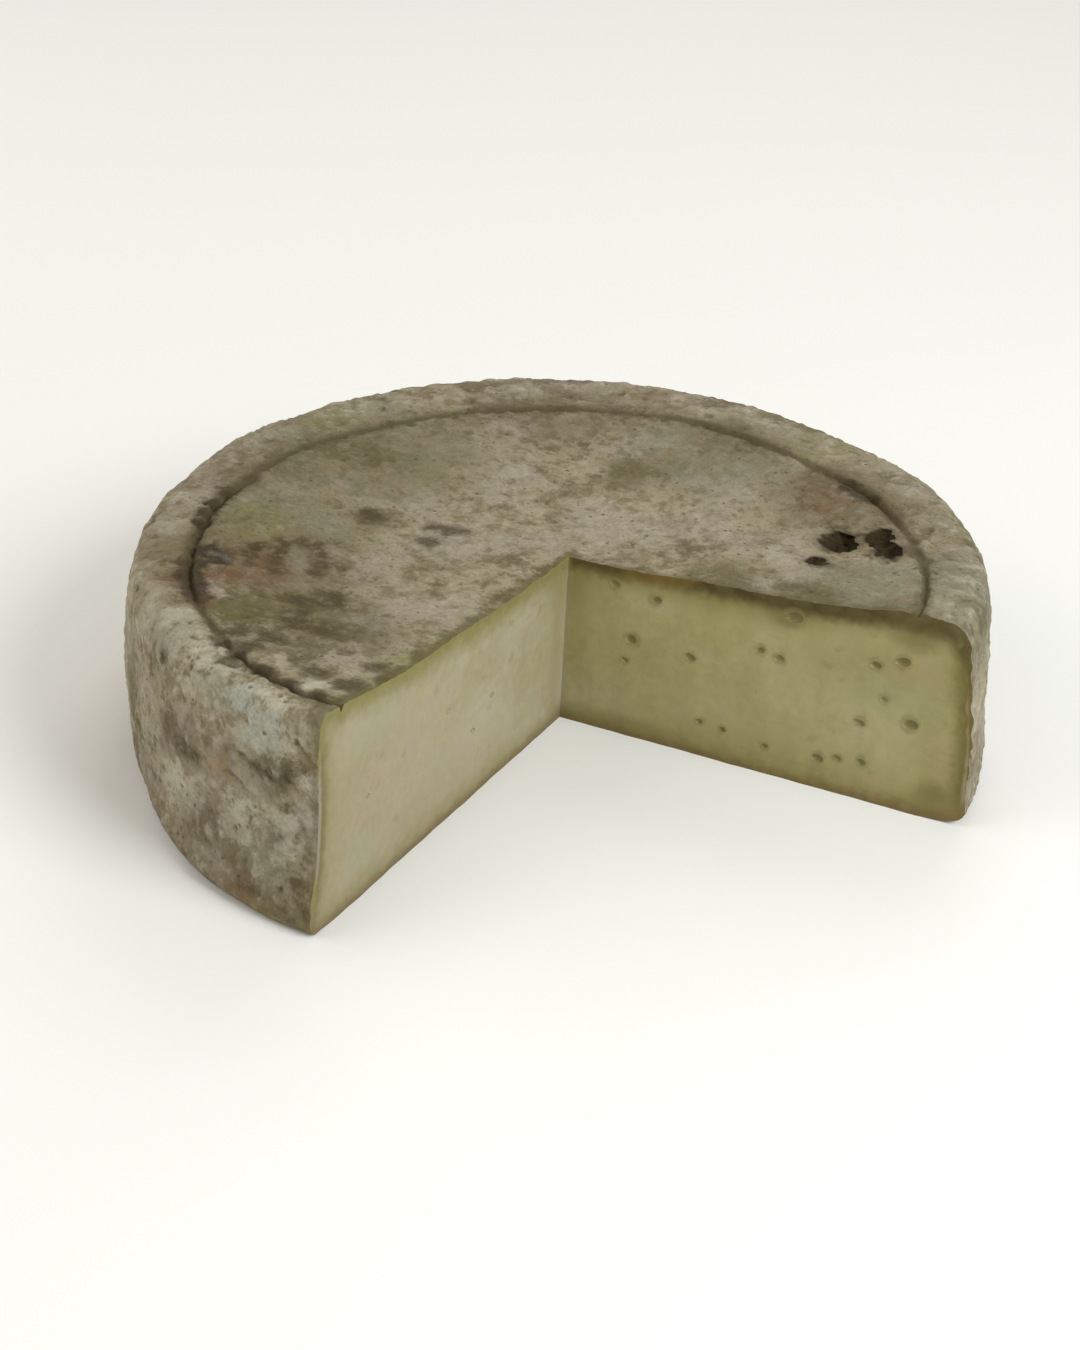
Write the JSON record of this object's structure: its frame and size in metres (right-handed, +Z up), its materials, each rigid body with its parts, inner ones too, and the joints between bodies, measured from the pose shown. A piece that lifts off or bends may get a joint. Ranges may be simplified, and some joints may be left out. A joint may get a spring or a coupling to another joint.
{
  "type": "tomme de savoie",
  "caption": "Wheel of pressed mountain cheese with a mottled grey-brown natural rind, a groove round its dished top, and a sector cut out that shows the pale paste.",
  "frame": {"origin": "middle of the bounding box, on the resting face", "axes": "+Z up; the cut-out sector opens towards +X and -Y, its two faces close to the +X and -Y axes"},
  "size_m": [0.2088, 0.2164, 0.0537],
  "materials": {
    "rind": "dry mottled natural rind, matt, with grey bloom, brown and olive patches and dark mould pits",
    "paste": "smooth cut cheese paste, pale straw, slightly moist, darker towards the rind, with small eyes"
  },
  "bodies": {
    "root": {"cheese_wheel": "rind"}
  },
  "joints": []
}
